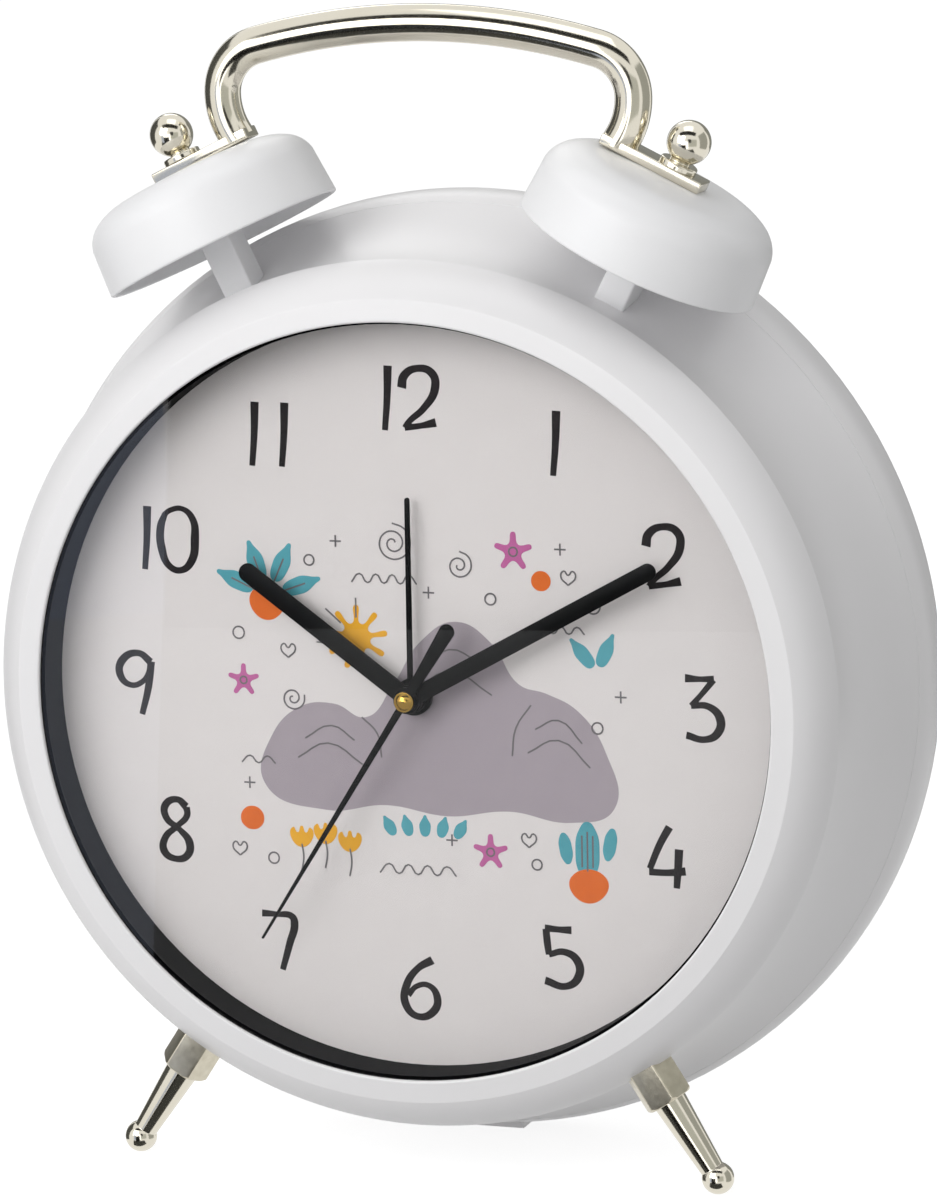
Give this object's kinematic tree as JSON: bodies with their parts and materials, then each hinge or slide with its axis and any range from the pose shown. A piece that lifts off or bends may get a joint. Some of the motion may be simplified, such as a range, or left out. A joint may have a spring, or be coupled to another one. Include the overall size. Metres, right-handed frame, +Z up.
{
  "type": "twin bell alarm clock",
  "caption": "Round twin-bell alarm clock with a carrying handle, ball feet, hands under a clear lens, and setting knobs, switch and battery door on its back.",
  "frame": {"origin": "on the table under the middle of the clock's width and depth", "axes": "+Z up, the dial faces -Y, +X to the right of someone who reads the dial"},
  "size_m": [0.2408, 0.0826, 0.2907],
  "materials": {
    "white_shell": "smooth satin white moulding",
    "bell_white": "slightly translucent white moulding",
    "clear_lens": "clear, flat",
    "black_gloss": "glossy black",
    "dial_paper": "printed warm light grey",
    "steel": "zinc plated",
    "battery_jacket": "printed sleeve",
    "black_plastic": "moulded",
    "warm_plate": "warm nickel plated",
    "hand_black": "satin black",
    "washer_rubber": "plain",
    "brass": "polished",
    "copper_coil": "enamelled wire",
    "board_green": "solder mask",
    "gear_white": "moulded"
  },
  "bodies": {
    "root": {"bezel": "white_shell", "lens": "clear_lens", "spacer_ring": "black_gloss", "dial": "dial_paper", "front_housing": "white_shell", "rear_cover": "white_shell", "cover_screws": "steel", "battery": "battery_jacket", "battery_plate": "steel", "battery_spring": "steel", "buzzer": "black_plastic", "post_screws": "steel", "handle": "warm_plate", "fixing_nut": "hand_black", "fixing_washer": "washer_rubber", "left_bell": "bell_white", "right_bell": "bell_white", "left_post": "white_shell", "right_post": "white_shell", "left_finial": "warm_plate", "right_finial": "warm_plate", "left_foot": "warm_plate", "right_foot": "warm_plate", "movement_case": "black_plastic", "movement_cover": "black_plastic", "train_plate": "brass", "stator": "steel", "coil": "copper_coil", "circuit_board": "board_green"},
    "minute_train": {"minute_hand": "hand_black", "minute_arbor": "brass"},
    "hour_train": {"hour_hand": "hand_black", "hour_wheel": "gear_white"},
    "time_setting": {"minute_wheel": "gear_white", "time_set_shaft": "steel", "time_set_knob": "black_plastic"},
    "second_train": {"second_hand": "hand_black", "second_cap": "brass", "second_arbor": "steel"},
    "third_train": {"third_wheel": "gear_white"},
    "centre_train": {"centre_wheel": "gear_white"},
    "intermediate_train": {"intermediate_wheel": "gear_white"},
    "rotor_train": {"rotor": "gear_white"},
    "alarm_setting": {"alarm_set_shaft": "steel", "alarm_set_knob": "black_plastic"},
    "alarm_train": {"alarm_hand": "hand_black", "alarm_wheel": "gear_white"},
    "switch_slider": {"alarm_switch": "black_plastic"},
    "door": {"battery_door": "white_shell"}
  },
  "joints": [
    {"name": "minute_spin", "type": "hinge", "parent": "root", "child": "minute_train", "pos_m": [0, 0, 0.1215], "axis": [0, 1, 0], "continuous": true},
    {"name": "hour_spin", "type": "hinge", "parent": "root", "child": "hour_train", "pos_m": [0, 0, 0.1215], "axis": [0, 1, 0], "continuous": true},
    {"name": "time_knob_spin", "type": "hinge", "parent": "root", "child": "time_setting", "pos_m": [-0.0118, 0, 0.12976], "axis": [0, 1, 0], "continuous": true},
    {"name": "second_spin", "type": "hinge", "parent": "root", "child": "second_train", "pos_m": [0, 0, 0.1215], "axis": [0, 1, 0], "continuous": true},
    {"name": "third_spin", "type": "hinge", "parent": "root", "child": "third_train", "pos_m": [0, 0, 0.1113], "axis": [0, 1, 0], "continuous": true},
    {"name": "centre_spin", "type": "hinge", "parent": "root", "child": "centre_train", "pos_m": [0, 0, 0.1215], "axis": [0, 1, 0], "continuous": true},
    {"name": "intermediate_spin", "type": "hinge", "parent": "root", "child": "intermediate_train", "pos_m": [0.00987, 0, 0.11791], "axis": [0, 1, 0], "continuous": true},
    {"name": "rotor_spin", "type": "hinge", "parent": "root", "child": "rotor_train", "pos_m": [0.01832, 0, 0.11483], "axis": [0, 1, 0], "continuous": true},
    {"name": "alarm_knob_spin", "type": "hinge", "parent": "root", "child": "alarm_setting", "pos_m": [0.0118, 0, 0.12976], "axis": [0, 1, 0], "continuous": true},
    {"name": "alarm_hand_spin", "type": "hinge", "parent": "root", "child": "alarm_train", "pos_m": [0, 0, 0.1215], "axis": [0, 1, 0], "continuous": true},
    {"name": "alarm_switch_slide", "type": "slide", "parent": "root", "child": "switch_slider", "axis": [1, 0, 0], "range_m": [0, 0.005]},
    {"name": "battery_door_hinge", "type": "hinge", "parent": "root", "child": "door", "pos_m": [0, 0.0304, 0.0897], "axis": [-1, 0, 0], "range_deg": [0, 90]}
  ],
  "couplings": [
    {"joint": "hour_spin", "follows": "minute_spin", "ratio": 0.083333},
    {"joint": "time_knob_spin", "follows": "minute_spin", "ratio": -0.33333},
    {"joint": "third_spin", "follows": "second_spin", "ratio": -0.13333},
    {"joint": "centre_spin", "follows": "second_spin", "ratio": 0.016667},
    {"joint": "intermediate_spin", "follows": "second_spin", "ratio": -6},
    {"joint": "rotor_spin", "follows": "second_spin", "ratio": 30},
    {"joint": "alarm_hand_spin", "follows": "alarm_knob_spin", "ratio": -0.33333}
  ]
}
